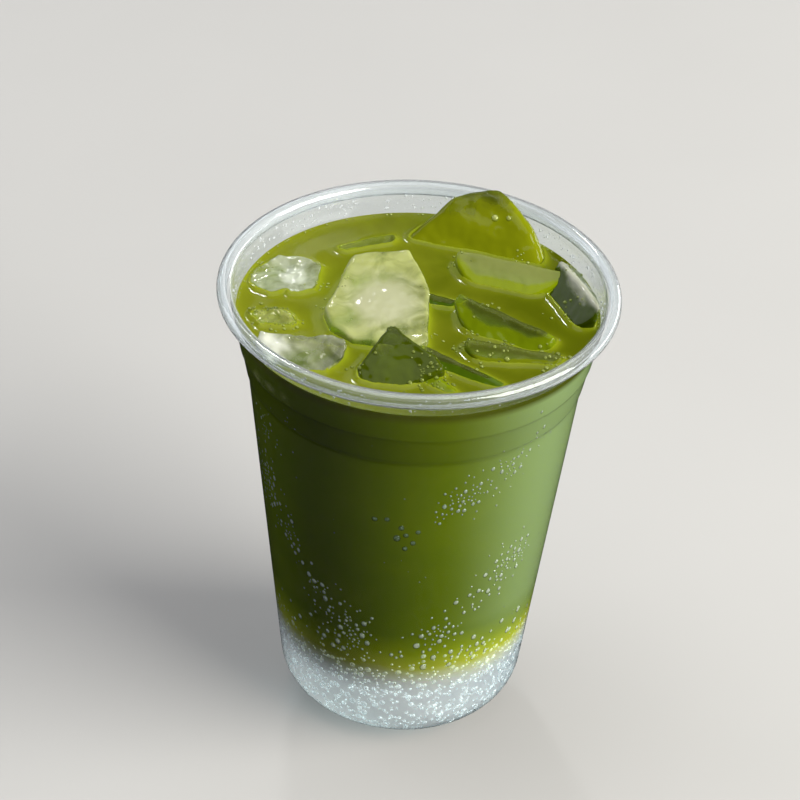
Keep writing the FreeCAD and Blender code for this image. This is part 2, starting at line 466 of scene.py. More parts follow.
drink = {
    "layers": [(12, "#eef5f8"), (20, "#e9f0e4"), (24, "#dfe3b4"), (28, "#c3cd3e"), (33, "#95a70a"),
               (39, "#6c8206"), (50, "#6a7f06"), (80, "#728806"), (104, "#738706")],  # height in mm, colour
    "sway": 5 * mm,         # how unevenly the layers meet, and how wide its waves are
    "swayWidth": 11.11 * mm,
    "driftWidth": 18.18 * mm,  # of the lighter patches in the body
    "wispWidth": 33.33 * mm,  # of the surface's patches
    "topWidth": 83.33 * mm,  # how gently the surface turns from its left colour to its right one
    "topStart": 2.4 * mm,   # the surface's colours begin and are full at these depths
    "topFull": 0.4 * mm,
    "bodyStart": 14 * mm,   # how far above the tonic the body's drifts reach their full strength
    "lightPatch": "#839406",
    "topLeft": "#717818",
    "topRight": "#4e5606",
    "shadeUnderIce": "#2c4a08",
    "lightByIce": "#97a31e",      # painted light: the thin tea that climbs the ice is lightened where it catches the light
    "paintedLitSide": "#9ab278",     # painted light: the drink is paled towards this milky green on the side where the light falls into it
    "paintedLitStart": 0.16,     # shares of the radius, to the right of the middle
    "paintedLitEnd": 0.74,
}


def layerColour(tree, place):
    height = addNode(tree, "ShaderNodeSeparateXYZ", links={"Vector": place})
    wave = addNode(tree, "ShaderNodeTexNoise", {"Scale": 1 / drink["swayWidth"], "Detail": 3},
                   {"Vector": place})
    sway = addNode(tree, "ShaderNodeMath", {
        "operation": "MULTIPLY_ADD", 1: drink["sway"], 2: -drink["sway"] / 2}, {0: wave.outputs["Fac"]})
    level = addNode(tree, "ShaderNodeMath", {"operation": "ADD"}, {
        0: height.outputs["Z"], 1: sway.outputs[0]})
    lowest, highest = drink["layers"][0][0], drink["layers"][-1][0]
    share = addNode(tree, "ShaderNodeMapRange", {"From Min": lowest * mm, "From Max": highest * mm},
                    {"Value": level.outputs[0]})
    ramp = addNode(tree, "ShaderNodeValToRGB", links={"Fac": share.outputs[0]})
    marks = ramp.color_ramp.elements
    while len(marks) < len(drink["layers"]):
        marks.new(0.5)
    for mark, (level, hexText) in zip(marks, drink["layers"]):
        mark.position = (level - lowest) / (highest - lowest)
        mark.color = colour(hexText)
    return ramp, height


def drinkSurface(tree, place):
    # the layers' colours, then lighter drifts, the painted light on the lamp's side, the surface's colour,
    # and the painted shade under the ice and painted light beside it
    ramp, height = layerColour(tree, place)
    drift = addNode(tree, "ShaderNodeTexNoise", {
        "Scale": 1 / drink["driftWidth"], "Detail": 5, "Distortion": 1.2}, {"Vector": place})
    patch = addNode(tree, "ShaderNodeMapRange", {"From Min": 0.35, "From Max": 0.7, "To Max": 0.4},
                    {"Value": drift.outputs["Fac"]})
    inBody = addNode(tree, "ShaderNodeMapRange", {
        "From Min": tonicTop, "From Max": tonicTop + drink["bodyStart"]}, {"Value": height.outputs["Z"]})
    amount = addNode(tree, "ShaderNodeMath", {"operation": "MULTIPLY"}, {
        0: patch.outputs[0], 1: inBody.outputs[0]})
    light = addNode(tree, "ShaderNodeMix", {"data_type": "RGBA", 7: colour(drink["lightPatch"])},
                    {0: amount.outputs[0], 6: ramp.outputs["Color"]})
    # painted light: the body pales towards the lamp's side, to the right of the middle
    paintedLitShare = addNode(tree, "ShaderNodeMapRange", {
        "interpolation_type": "SMOOTHSTEP", "From Min": rimRadius * drink["paintedLitStart"],
        "From Max": rimRadius * drink["paintedLitEnd"], "To Max": 0.9}, {"Value": height.outputs["X"]})
    milk = addNode(tree, "ShaderNodeMath", {"operation": "MULTIPLY"}, {
        0: paintedLitShare.outputs[0], 1: inBody.outputs[0]})
    milked = addNode(tree, "ShaderNodeMix", {"data_type": "RGBA", 7: colour(drink["paintedLitSide"])},
                     {0: milk.outputs[0], 6: light.outputs[2]})
    nearTop = addNode(tree, "ShaderNodeMapRange", {
        "From Min": drinkLevel - drink["topStart"], "From Max": drinkLevel - drink["topFull"]},
        {"Value": height.outputs["Z"]})
    wisps = addNode(tree, "ShaderNodeTexNoise", {
        "Scale": 1 / drink["wispWidth"], "Detail": 4, "Distortion": 2.0}, {"Vector": place})
    sideways = addNode(tree, "ShaderNodeMath", {"operation": "MULTIPLY_ADD", 1: 1 / drink["topWidth"]}, {
        0: height.outputs["X"], 2: wisps.outputs["Fac"]})
    across = addNode(tree, "ShaderNodeMapRange", {"From Min": 0.15, "From Max": 0.85},
                     {"Value": sideways.outputs[0]})
    top = addNode(tree, "ShaderNodeMix", {
        "data_type": "RGBA", 6: colour(drink["topLeft"]), 7: colour(drink["topRight"])},
        {0: across.outputs[0]})
    surfaced = addNode(tree, "ShaderNodeMix", {"data_type": "RGBA"},
                       {0: nearTop.outputs[0], 6: milked.outputs[2], 7: top.outputs[2]})
    body = surfaced
    for label in ("shadeUnderIce", "lightByIce"):
        share = addNode(tree, "ShaderNodeAttribute", {"attribute_name": label})
        body = addNode(tree, "ShaderNodeMix", {"data_type": "RGBA", 7: colour(drink[label])},
                       {0: share.outputs["Fac"], 6: body.outputs[2]})
    surface = addNode(tree, "ShaderNodeBsdfPrincipled", {
        "Roughness": 0.08, "IOR": 1.34, "Specular IOR Level": 0.25, "Subsurface Weight": 0.2,
        "Subsurface Radius": (0.8, 1.0, 0.1), "Subsurface Scale": 1.5 * mm}, {"Base Color": body.outputs[2]})
    return surface, height


def matchaLiquid():
    material, tree = newMaterial("whiskedMatcha")
    # fine tea powder in water: opaque, deep green in the body, lighter and brighter where it lies thin
    surface, _ = drinkSurface(tree, addNode(tree, "ShaderNodeTexCoord").outputs["Object"])
    finishMaterial(tree, surface.outputs[0])
    return material


tonic = {
    "farSide": "#ffffff",   # painted light: the colour is lighter on the side away from the window, where light gathers as in a lens
    "lampSide": "#b6c1c8",
    "through": "#f0f4f3",
    "reach": 30 * mm,       # how far light travels in it
    "teaFrom": 19 * mm,     # tea begins to cloud it at this height, and hides it at the next
    "teaTo": 27 * mm,
}


def tonicLiquid():
    material, tree = newMaterial("cloudedTonic")
    # sparkling tonic: clear water clouded by fine bubbles, so it glows where light comes through it
    surface, height = drinkSurface(tree, addNode(tree, "ShaderNodeTexCoord").outputs["Object"])
    # painted light: lighter on the side away from the lamps, darker on the lamps' side
    across = addNode(tree, "ShaderNodeMapRange", {
        "From Min": -0.5 * rimRadius, "From Max": 0.6 * rimRadius}, {"Value": height.outputs["X"]})
    tint = addNode(tree, "ShaderNodeMix", {
        "data_type": "RGBA", 6: colour(tonic["farSide"]), 7: colour(tonic["lampSide"])},
        {0: across.outputs[0]})
    cloud = addNode(tree, "ShaderNodeBsdfPrincipled", {
        "Roughness": 0.25, "IOR": 1.2, "Subsurface Weight": 0.85, "Subsurface Radius": (1.0, 1.0, 1.0),
        "Subsurface Scale": tonic["reach"]}, {"Base Color": tint.outputs[2]})
    through = addNode(tree, "ShaderNodeBsdfTranslucent", {"Color": colour(tonic["through"])})
    glow = addNode(tree, "ShaderNodeAddShader", links={0: cloud.outputs[0], 1: through.outputs[0]})
    share = addNode(tree, "ShaderNodeMapRange", {"From Min": tonic["teaFrom"], "From Max": tonic["teaTo"]},
                    {"Value": height.outputs["Z"]})
    layered = addNode(tree, "ShaderNodeMixShader", links={
        0: share.outputs[0], 1: glow.outputs[0], 2: surface.outputs[0]})
    finishMaterial(tree, passLight(tree, layered.outputs[0], "#e9f1f4"))
    return material


def makeTonic(tree):
    outline = cutAbove(drinkOutline(), tonicTop) + [(0, tonicTop)]
    piece = turnedPiece("tonicLayer", evened(outline, outlineStep), tree, tonicLiquid())
    print("tonic: up to", round(tonicTop / mm, 1), "mm")
    return belong(piece, ["tonic"])


# ice

plainIce = {
    "voxel": 0.45 * mm,     # how finely it is made
    "soften": 3,            # how far melting has rounded it
    "swell": 0,
    "dents": 0.5 * mm,      # depth of the wide unevenness, and its width
    "dentWidth": 8 * mm,
    "crinkle": 0.1 * mm,    # the same for the fine one
    "crinkleWidth": 1.9 * mm,
    "film": 0.9 * mm,       # how high the tea's film clings above the waterline, and how sharply it ends
    "filmEnd": 0.5 * mm,
    "filmTint": "#74840a",
    "deepShadeTint": "#35500a",
    "clearTint": "#dfe8ae",
    "face": 0.2,            # how much of the painted sky reflection, pale and frosted, its upward faces take
    "paintedSkyTint": "#868f3c",
    "milk": 0.03,
    "milkTint": "#b9bd86",
    "core": (0.5, 0.5),     # where its milky core lies, as shares of its box, and how large it is
    "coreSize": 0.1 * mm,
    "ragged": 3 * mm,       # how unevenly the core ends
    "blotch": 6.667 * mm,   # width of the cloudy patches
    "deep": 9 * mm,         # how far below the surface the painted shade on the tea's film is at its darkest
}
iceLooks = {
    "ice_slab": {"milk": 0.66, "milkTint": "#a2a768", "core": (0.55, 0.42), "coreSize": 13 * mm,
                 "coreTint": "#b0b096", "face": 0.3, "paintedSkyTint": "#a7ad6c", "clearTint": "#f0f4de"},
    "ice_back_tall": {"soften": 46, "swell": 1.2 * mm, "dents": 0.7 * mm, "film": 12.6 * mm,
                      "filmEnd": 4 * mm, "filmTint": "#747c0a", "deepShadeTint": "#6c7a08", "face": 0.1,
                      "clearTint": "#f0f4de"},
    "ice_left": {"dents": 0.9 * mm, "crinkle": 0.3 * mm, "milk": 0.45, "milkTint": "#bdc3b3", "soften": 2,
                 "core": (0.62, 0.45), "coreSize": 6 * mm, "coreTint": "#c9cfc4", "clearTint": "#f0f4e6"},
    "ice_back_half_moon": {"face": 0.6, "paintedSkyTint": "#8f974a", "film": 3.7 * mm, "filmEnd": 1.2 * mm,
                           "filmTint": "#7c8a08"},
    "ice_right": {"face": 0.9, "paintedSkyTint": "#a5a797", "film": 6 * mm, "filmEnd": 1.2 * mm,
                  "filmTint": "#3b4b03"},
    "ice_front_left": {"core": (0.12, 0.5), "coreSize": 8 * mm, "coreTint": "#d4d7ca", "film": 0.6 * mm,
                       "milk": 0.22, "milkTint": "#b3b796", "paintedSkyTint": "#a8ab92", "dents": 1.3 * mm,
                       "crinkle": 0.4 * mm, "clearTint": "#f4f6ea"},
    "ice_front_peak": {"film": 9 * mm, "filmEnd": 4 * mm, "filmTint": "#414e04", "face": 0,
                       "dents": 0.9 * mm, "crinkle": 0.2 * mm, "clearTint": "#eef2d6"},
    "ice_left_low": {"dents": 0.8 * mm, "crinkle": 0.5 * mm, "film": 1.2 * mm, "filmEnd": 1.0 * mm,
                     "soften": 2, "milk": 0.5, "milkTint": "#a3a858"},
    "ice_front_dark": {"filmTint": "#48600a", "deepShadeTint": "#20380a", "film": 2.6 * mm, "face": 0.1},
    "ice_middle_half_moon": {"film": 4.8 * mm, "filmEnd": 1.4 * mm, "filmTint": "#6a7b08", "face": 0.15},
    "ice_right_blade": {"film": 1.7 * mm, "clearTint": "#ccd68c", "filmTint": "#66700c"},
    "ice_middle_shard": {"filmTint": "#40560a", "deepShadeTint": "#1c300a", "film": 1.6 * mm, "face": 0.05},
    "ice_front_crescent": {"film": 2.6 * mm, "filmTint": "#70800a"},
}


iceToWall = 0.5 * mm  # the gap between melted ice and the plastic


def iceFinish(node, look):
    material, tree = newMaterial("meltingIce_" + node)
    # bar ice: clear and wet with a cloudy heart, and a film of tea where it meets the drink and below
    place = addNode(tree, "ShaderNodeTexCoord").outputs["Object"]
    clear = addNode(tree, "ShaderNodeBsdfGlass", {
        "IOR": 1.31, "Roughness": 0.02, "Color": colour(look["clearTint"])})
    blotch = addNode(tree, "ShaderNodeTexNoise", {
        "Scale": 1 / look["blotch"], "Detail": 4, "Distortion": 0.8}, {"Vector": place})
    centre = [low + (high - low) * share
              for low, high, share in zip(*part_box(node), (*look["core"], 0.75))]
    away = addNode(tree, "ShaderNodeVectorMath", {"operation": "DISTANCE", 1: centre}, {0: place})
    ragged = addNode(tree, "ShaderNodeMath", {
        "operation": "MULTIPLY_ADD", 1: -2 * look["ragged"], 2: look["ragged"]}, {0: blotch.outputs["Fac"]})
    reach = addNode(tree, "ShaderNodeMath", {"operation": "ADD"}, {
        0: away.outputs["Value"], 1: ragged.outputs[0]})
    heart = addNode(tree, "ShaderNodeMapRange", {
        "interpolation_type": "SMOOTHSTEP", "From Min": look["coreSize"] * 0.35,
        "From Max": look["coreSize"], "To Min": 1.0, "To Max": 0.0}, {"Value": reach.outputs[0]})
    coreTint = look.get("coreTint", look["milkTint"])
    tint = addNode(tree, "ShaderNodeMix", {
        "data_type": "RGBA", 6: colour(look["milkTint"]), 7: colour(coreTint)}, {0: heart.outputs[0]})
    cloud = addNode(tree, "ShaderNodeBsdfPrincipled", {
        "Roughness": 0.1, "IOR": 1.31, "Subsurface Weight": 0.6, "Subsurface Radius": (1.0, 1.0, 0.8),
        "Subsurface Scale": 2 * mm}, {"Base Color": tint.outputs[2]})
    veil = addNode(tree, "ShaderNodeMapRange", {
        "From Min": 0.3, "From Max": 0.75, "To Max": 2 * look["milk"]}, {"Value": blotch.outputs["Fac"]})
    cloudy = addNode(tree, "ShaderNodeMath", {"operation": "MAXIMUM"}, {
        0: veil.outputs[0], 1: heart.outputs[0]})
    milked = addNode(tree, "ShaderNodeMixShader", links={
        0: cloudy.outputs[0], 1: clear.outputs[0], 2: cloud.outputs[0]})
    # painted reflection: upward faces take a paler frosted colour that stands in for the sky they mirror
    skyOnFaces = addNode(tree, "ShaderNodeBsdfPrincipled", {
        "Base Color": colour(look["paintedSkyTint"]), "Roughness": 0.12, "IOR": 1.31})
    facing = addNode(tree, "ShaderNodeNewGeometry")
    normal = addNode(tree, "ShaderNodeSeparateXYZ", links={"Vector": facing.outputs["Normal"]})
    upward = addNode(tree, "ShaderNodeMapRange", {"From Min": 0.45, "From Max": 0.8, "To Max": look["face"]},
                     {"Value": normal.outputs["Z"]})
    skyFaced = addNode(tree, "ShaderNodeMixShader", links={
        0: upward.outputs[0], 1: milked.outputs[0], 2: skyOnFaces.outputs[0]})
    # the film of tea, by distance from the waterline, with painted shade growing with depth
    above = addNode(tree, "ShaderNodeAttribute", {"attribute_name": "aboveTea"})
    lapping = addNode(tree, "ShaderNodeMath", {
        "operation": "MULTIPLY_ADD", 1: -2 * look["filmEnd"], 2: look["filmEnd"]},
        {0: blotch.outputs["Fac"]})
    height = addNode(tree, "ShaderNodeMath", {"operation": "ADD"}, {
        0: above.outputs["Fac"], 1: lapping.outputs[0]})
    filmed = addNode(tree, "ShaderNodeMapRange", {
        "interpolation_type": "SMOOTHSTEP", "From Min": look["film"] - look["filmEnd"],
        "From Max": look["film"], "To Min": 1.0, "To Max": 0.0}, {"Value": height.outputs[0]})
    depth = addNode(tree, "ShaderNodeMapRange", {"From Min": -look["deep"], "From Max": -0.5 * mm},
                    {"Value": height.outputs[0]})
    tea = addNode(tree, "ShaderNodeMix", {
        "data_type": "RGBA", 6: colour(look["deepShadeTint"]), 7: colour(look["filmTint"])},
        {0: depth.outputs[0]})
    film = addNode(tree, "ShaderNodeBsdfPrincipled", {
        "Roughness": 0.07, "IOR": 1.33, "Specular IOR Level": 0.28}, {"Base Color": tea.outputs[2]})
    wet = addNode(tree, "ShaderNodeMixShader", links={
        0: filmed.outputs[0], 1: skyFaced.outputs[0], 2: film.outputs[0]})
    finishMaterial(tree, passLight(tree, wet.outputs[0], "#f2f7e6"))
    return material


def meltedMesh(node, look, seed):
    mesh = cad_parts[node].data.copy()
    faceOutwards(mesh)
    work = bpy.data.objects.new("melting", mesh)
    scene.collection.objects.link(work)
    remesh = work.modifiers.new("even", "REMESH")
    remesh.mode = "VOXEL"
    remesh.voxel_size = look["voxel"]
    soften = work.modifiers.new("soften", "SMOOTH")
    soften.factor = 0.5
    soften.iterations = look["soften"]
    made = evaluatedMesh(work)
    bpy.data.objects.remove(work)
    shift = Vector((seed * 3.1, seed * 1.7, seed * 5.3))
    wallLevels, wallRadii = insideWall(iceToWall)
    normals = [v.normal.copy() for v in made.vertices]
    for vertex, normal in zip(made.vertices, normals):
        push = (noise.noise(vertex.co / look["dentWidth"] + shift) - 0.25) * look["dents"]
        push += noise.noise(vertex.co / look["crinkleWidth"] + shift) * look["crinkle"]
        vertex.co += normal * (push + look["swell"])
        vertex.co.z = min(vertex.co.z, cadHigh.z)
        reach = vertex.co.xy.length
        room = np.interp(vertex.co.z, wallLevels, wallRadii)
        if reach > room:
            vertex.co.xy *= room / reach
    markAboveTea(made)
    return made


def insideWall(gap):
    # heights and radii of the upper wall's inner face, less a gap
    side = [(level, radius) for radius, level in wallOutline(cup["wall"] + gap) if level > tonicTop]
    return zip(*side)


def markAboveTea(mesh):
    # each point's distance from the piece's own waterline, below the surface as a negative number
    nearest = nearestOf(waterlinePoints(mesh))
    gaps = [nearest.find(vertex.co)[2] for vertex in mesh.vertices]
    markPoints(mesh, "aboveTea", [
        gap if vertex.co.z > drinkLevel else -gap for gap, vertex in zip(gaps, mesh.vertices)])


def waterlinePoints(mesh):
    points = []
    for edge in mesh.edges:
        a, b = (mesh.vertices[i].co for i in edge.vertices)
        if (a.z - drinkLevel) * (b.z - drinkLevel) < 0:
            points.append(a.lerp(b, (drinkLevel - a.z) / (b.z - a.z)))
    return points


def makeIce():
    pieces = {}
    for number, node in enumerate(sorted(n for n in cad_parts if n.startswith("ice_"))):
        look = {**plainIce, **iceLooks.get(node, {})}
        piece = pieceFromMesh("melted_" + node, meltedMesh(node, look, number), iceFinish(node, look))
        pieces[node] = belong(piece, [node])
    print("ice:", len(pieces), "pieces")
    return pieces


# matcha: surface, menisci, the hollows that the ice lies in, and the side against the wall

matcha = {
    "rings": 120,
    "segments": 448,
    "climb": 0.8 * mm,      # how far the surface climbs the ice
    "reach": 0.75 * mm,     # how quickly it falls away again
    "shelf": 0.35 * mm,     # how far the surface runs on inside the ice before its hollow
    "lift": 0.15 * mm,      # how far the hollow's floor reaches into the ice
    "bowlDepth": 6.5 * mm,  # the hollow's depth, and how gently it is reached
    "bowlRun": 3 * mm,
    "rimShare": 0.5,        # how strongly the painted light lightens the tea against the ice, and over what distance
    "rimReach": 1.1 * mm,
    "ripple": 0.12 * mm,    # height and width of the surface's faint waves, which die out by the wall
    "rippleWidth": 11 * mm,
    "rippleEnd": 3 * mm,
    "wallReach": 1.1 * mm,  # how quickly the meniscus at the wall falls away
    "sideStep": 1.5 * mm,   # between the side's rings, and from the surface down to the first
    "topGap": 0.3 * mm,
}


def makeMatcha(ice):
    trees = [solidTree(p) for p in ice.values()]
    shore = [point for p in ice.values() for point in waterlinePoints(p.data)]
    nearest = nearestOf([(point.x, point.y, 0) for point in shore])
    outer = radiusAt(drinkLevel, cup["wall"] - intoWall)
    down = Vector((0, 0, -1))
    verts, shades, rims = [], [], []
    count = matcha["segments"]
    for ring in range(matcha["rings"] + 1):
        radius = outer * ring / matcha["rings"]
        for step in range(count if ring else 1):
            turn = 2 * math.pi * step / count
            x, y = radius * math.cos(turn), radius * math.sin(turn)
            spot = Vector((x, y, drinkLevel))
            floors = []
            for tree in trees:
                hit, normal, _, _ = tree.ray_cast(spot, down)
                if hit and normal.z < 0:
                    floors.append(hit.z)
            gap = nearest.find((x, y, 0))[2]
            wallGap = outer - radius
            if floors and gap > matcha["shelf"]:
                bowl = matcha["bowlDepth"] * (1 - math.exp(-(gap - matcha["shelf"]) / matcha["bowlRun"]))
                z = max(min(floors) + matcha["lift"], drinkLevel + matcha["climb"] * 0.7 - bowl)
                # painted shade: the tea darkens deeper in the hollow under the ice
                shades.append(0.8 * bowl / matcha["bowlDepth"])
                rims.append(0)
            else:
                rise = matcha["climb"] * math.exp(-gap / matcha["reach"])
                rise = max(rise, meniscusClimb * math.exp(-wallGap / matcha["wallReach"]))
                ripple = noise.noise(spot / matcha["rippleWidth"]) * matcha["ripple"]
                z = drinkLevel + rise + ripple * min(1, wallGap / matcha["rippleEnd"])
                shades.append(0)
                # painted light on the tea beside the ice
                rims.append(matcha["rimShare"] * math.exp(-gap / matcha["rimReach"]))
            verts.append((x, y, z))

    def at(ring, step):
        return 0 if ring == 0 else 1 + (ring - 1) * count + step % count

    faces = [(0, at(1, s), at(1, s + 1)) for s in range(count)]
    for ring in range(1, matcha["rings"]):
        for s in range(count):
            faces.append((at(ring, s), at(ring + 1, s), at(ring + 1, s + 1), at(ring, s + 1)))
    side = [p for p in evened(cutAbove(drinkOutline(), drinkLevel), matcha["sideStep"])
            if tonicTop < p[1] < drinkLevel - matcha["topGap"]][::-1]
    side.append((radiusAt(tonicTop, cup["wall"] - intoWall), tonicTop))
    base = len(verts)
    turns = [2 * math.pi * s / count for s in range(count)]
    for radius, level in side:
        verts += [(radius * math.cos(turn), radius * math.sin(turn), level) for turn in turns]
    for row in range(len(side)):
        # the first row joins the surface's outer ring
        above = base + (row - 1) * count if row else at(matcha["rings"], 0)
        for s in range(count):
            following = (s + 1) % count
            lower, lowerNext = base + row * count + s, base + row * count + following
            faces.append((above + s, lower, lowerNext, above + following))
    middle = len(verts)
    verts.append((0, 0, tonicTop))
    last = base + (len(side) - 1) * count
    faces += [(middle, last + (s + 1) % count, last + s) for s in range(count)]
    mesh = bpy.data.meshes.new("matchaLayer")
    mesh.from_pydata(verts, [], faces)
    for label, values in (("shadeUnderIce", shades), ("lightByIce", rims)):
        markPoints(mesh, label, values + [0] * (len(verts) - len(values)))
    piece = pieceFromMesh("matchaLayer", mesh, matchaLiquid())
    mesh.set_sharp_from_angle(angle=math.radians(75))
    print("matcha:", len(verts), "points")
    return belong(piece, ["matcha"])


# bubbles and drops: flattened balls set on points, each lying on the surface that it clings to

def buildBeadTree():
    tree, start = newTree("beadsOnPoints", ["Sides", "Rings"])
    ball = addNode(tree, "GeometryNodeMeshUVSphere", {"Radius": 1.0}, {
        "Segments": start.outputs["Sides"], "Rings": start.outputs["Rings"]})
    here = addNode(tree, "GeometryNodeInputPosition")
    flat = addNode(tree, "ShaderNodeVectorMath", {"operation": "MULTIPLY", 1: (1, 1, 0)},
                   {0: here.outputs[0]})
    fromMiddle = addNode(tree, "ShaderNodeVectorMath", {"operation": "LENGTH"}, {0: flat.outputs[0]})
    marked = addNode(tree, "GeometryNodeStoreNamedAttribute", {"Name": "towardsEdge"}, {
        "Geometry": ball.outputs["Mesh"], "Value": fromMiddle.outputs["Value"]})
    outward, upward, size = (
        addNode(tree, "GeometryNodeInputNamedAttribute", {"data_type": "FLOAT_VECTOR", "Name": label})
        for label in ("outward", "upward", "size"))
    facing = addNode(tree, "FunctionNodeAlignRotationToVector", {"axis": "Z"},
                     {"Vector": outward.outputs[0]})
    turned = addNode(tree, "FunctionNodeAlignRotationToVector", {"axis": "Y", "pivot_axis": "Z"}, {
        "Rotation": facing.outputs[0], "Vector": upward.outputs[0]})
    beads = addNode(tree, "GeometryNodeInstanceOnPoints", links={
        "Points": start.outputs["Geometry"], "Instance": marked.outputs["Geometry"],
        "Rotation": turned.outputs[0], "Scale": size.outputs[0]})
    return finishTree(tree, start, beads.outputs[0])


def beadPiece(name, beads, tree, material, sides=8, rings=5):
    # each bead is its place, the way out of its surface, the way along it, its three half sizes and its tone
    points = bpy.data.meshes.new(name)
    points.from_pydata([bead[0] for bead in beads], [], [])
    for number, label in ((1, "outward"), (2, "upward"), (3, "size")):
        store = points.attributes.new(label, "FLOAT_VECTOR", "POINT")
        store.data.foreach_set("vector", [float(c) for bead in beads for c in bead[number]])
    markPoints(points, "tone", [bead[4] for bead in beads])
    piece = runTree(name, points, tree, {"Sides": sides, "Rings": rings, "Finish": material}, material)
    print(name + ":", len(beads), "pieces,", len(piece.data.polygons), "faces")
    return belong(piece)


def wallSpot(around, level, inset):
    # a place on the cup's wall, in degrees to the right of the front, and the way out of the wall there
    turn = math.radians(around - 90)
    radius = radiusAt(level, inset)
    lean = (radiusAt(level + 0.5 * mm, inset) - radius) / (0.5 * mm)
    ray = Vector((math.cos(turn), math.sin(turn), 0))
    return ray * radius + Vector((0, 0, level)), (ray - Vector((0, 0, lean))).normalized()


def clumps(random, start, end, count, each, spread):
    # uneven clumps of spots along a line, some tight and some loose
    for _ in range(count):
        share = random.uniform(0, 1)
        loose = spread * random.uniform(0.4, 1.6)
        for _ in range(random.poisson(each)):
            yield [a + (b - a) * share + random.normal(0, loose) for a, b in zip(start, end)]


def apart(beads, share):
    # a bubble that would lie over an earlier one is left out
    kept, places, halves = [], np.zeros((len(beads), 3)), np.zeros(len(beads))
    for bead in beads:
        place, half, count = np.array(bead[0]), max(bead[3][:2]), len(kept)
        gaps = np.linalg.norm(places[:count] - place, axis=1)
        if np.all(gaps > share * (halves[:count] + half)):
            places[count], halves[count] = place, half
            kept.append(bead)
    return kept


def bubbleFinish(name, dark, pale, metal, clearShare, glow=None):
    material, tree = newMaterial(name)
    # air in the drink or against the plastic: a painted silvery reflection in the middle and a painted dark
    # outline at the edge, in a darker and a paler set
    spread = addNode(tree, "ShaderNodeAttribute", {"attribute_name": "towardsEdge"})
    where = addNode(tree, "ShaderNodeMapRange", {
        "interpolation_type": "SMOOTHSTEP", "From Min": 0.5, "From Max": 0.95},
        {"Value": spread.outputs["Fac"]})
    mixes = [addNode(tree, "ShaderNodeMix", {"data_type": "RGBA", 6: colour(middle), 7: colour(edge)},
                     {0: where.outputs[0]}) for middle, edge in (dark, pale)]
    tone = addNode(tree, "ShaderNodeAttribute", {"attribute_name": "tone"})
    tint = addNode(tree, "ShaderNodeMix", {"data_type": "RGBA"}, {
        0: tone.outputs["Fac"], 6: mixes[0].outputs[2], 7: mixes[1].outputs[2]})
    skin = addNode(tree, "ShaderNodeBsdfPrincipled", {
        "Metallic": metal, "Roughness": 0.2, "IOR": 1.33}, {"Base Color": tint.outputs[2]})
    if glow:
        through = addNode(tree, "ShaderNodeBsdfTranslucent", {"Color": colour(glow)})
        skin = addNode(tree, "ShaderNodeAddShader", links={0: skin.outputs[0], 1: through.outputs[0]})
    clear = addNode(tree, "ShaderNodeBsdfTransparent")
    mixed = addNode(tree, "ShaderNodeMixShader", {0: clearShare}, {1: skin.outputs[0], 2: clear.outputs[0]})
    finishMaterial(tree, passLight(tree, mixed.outputs[0], "#ffffff"))
    return material


wallBubbles = {
    "seed": 11,
    "depth": 0.22 * mm,     # how far a bubble reaches into the plastic
    # each sweep climbs the wall: its start and end, in degrees from the front and as a share of the way
    # from the tonic to the surface, clumps, bubbles in each, least and largest half width in mm, and tone
    "sweeps": [
        ((-15, 0.05), (-70, 0.55), 12, 30, 0.3, 0.95, 0.95), ((10, 0.1), (65, 0.5), 13, 22, 0.3, 0.85, 0.9),
        ((10, 0.6), (50, 0.85), 9, 20, 0.3, 0.75, 0.6), ((-60, 0.05), (60, 0.05), 10, 9, 0.5, 1.1, 1.0),
        ((-10, 0.6), (5, 0.5), 3, 5, 0.75, 1.25, 0.0), ((-75, 0.6), (-40, 0.9), 5, 9, 0.25, 0.6, 0.9),
    ],
    "spread": 4.5,          # of a clump, in degrees
    "behind": 9,            # sweeps on the side away from the front, between these bearings
    "behindBetween": (85, 275),
    "behindEach": (4, 16, 0.3, 0.85),  # clumps, bubbles in each, least and largest half width
    "mist": 110,            # single small bubbles, anywhere, and their half widths and tone
    "mistEach": (0.16, 0.32, 0.6),
}


def makeWallBubbles(tree):
    random = np.random.default_rng(wallBubbles["seed"])
    depthOfTea = drinkLevel - tonicTop
    sweeps = list(wallBubbles["sweeps"])
    for _ in range(wallBubbles["behind"]):
        around, share = random.uniform(*wallBubbles["behindBetween"]), random.uniform(0.1, 0.7)
        sweeps.append(((around, share), (around + random.uniform(-25, 25), share + 0.25),
                       *wallBubbles["behindEach"], random.uniform(0.3, 1)))
    spots = []
    perDegree = math.radians(1) * radiusAt((tonicTop + drinkLevel) / 2, cup["wall"])
    for start, end, count, each, least, most, tone in sweeps:
        line = [(around, share * depthOfTea / perDegree) for around, share in (start, end)]
        for around, up in clumps(random, *line, count, each, wallBubbles["spread"]):
            spots.append((around, tonicTop + up * perDegree, least, most, tone))
    for _ in range(wallBubbles["mist"]):
        spot = (random.uniform(0, 360), random.uniform(tonicTop, drinkLevel))
        spots.append((*spot, *wallBubbles["mistEach"]))
    beads = []
    for around, level, least, most, tone in spots:
        level = min(max(level, tonicTop), drinkLevel - 3 * mm)
        place, out = wallSpot(around, level, cup["wall"] - intoWall)
        half = (least + (most - least) * random.uniform(0, 1) ** 1.8) * mm
        long = half * random.uniform(1.0, 1.3)
        beads.append((place, out, (0, 0, 1), (half, long, min(wallBubbles["depth"], half * 0.8)), tone))
    finish = bubbleFinish("trappedAir", ("#7d9382", "#162403"), ("#e9f0e2", "#7f9468"), 0.35, 0.3)
    return beadPiece("wallBubbles", apart(beads, 0.95), tree, finish)


fizz = {
    "seed": 5,
    "count": 3400,
    "lowest": 2.2 * mm,
    "highest": 33 * mm,
    "dense": 25 * mm,       # above this height they thin out
    "least": 0.28 * mm,     # the smallest half width, and how much the largest adds to it
    "extra": 0.6 * mm,
    "depth": 0.22 * mm,
}


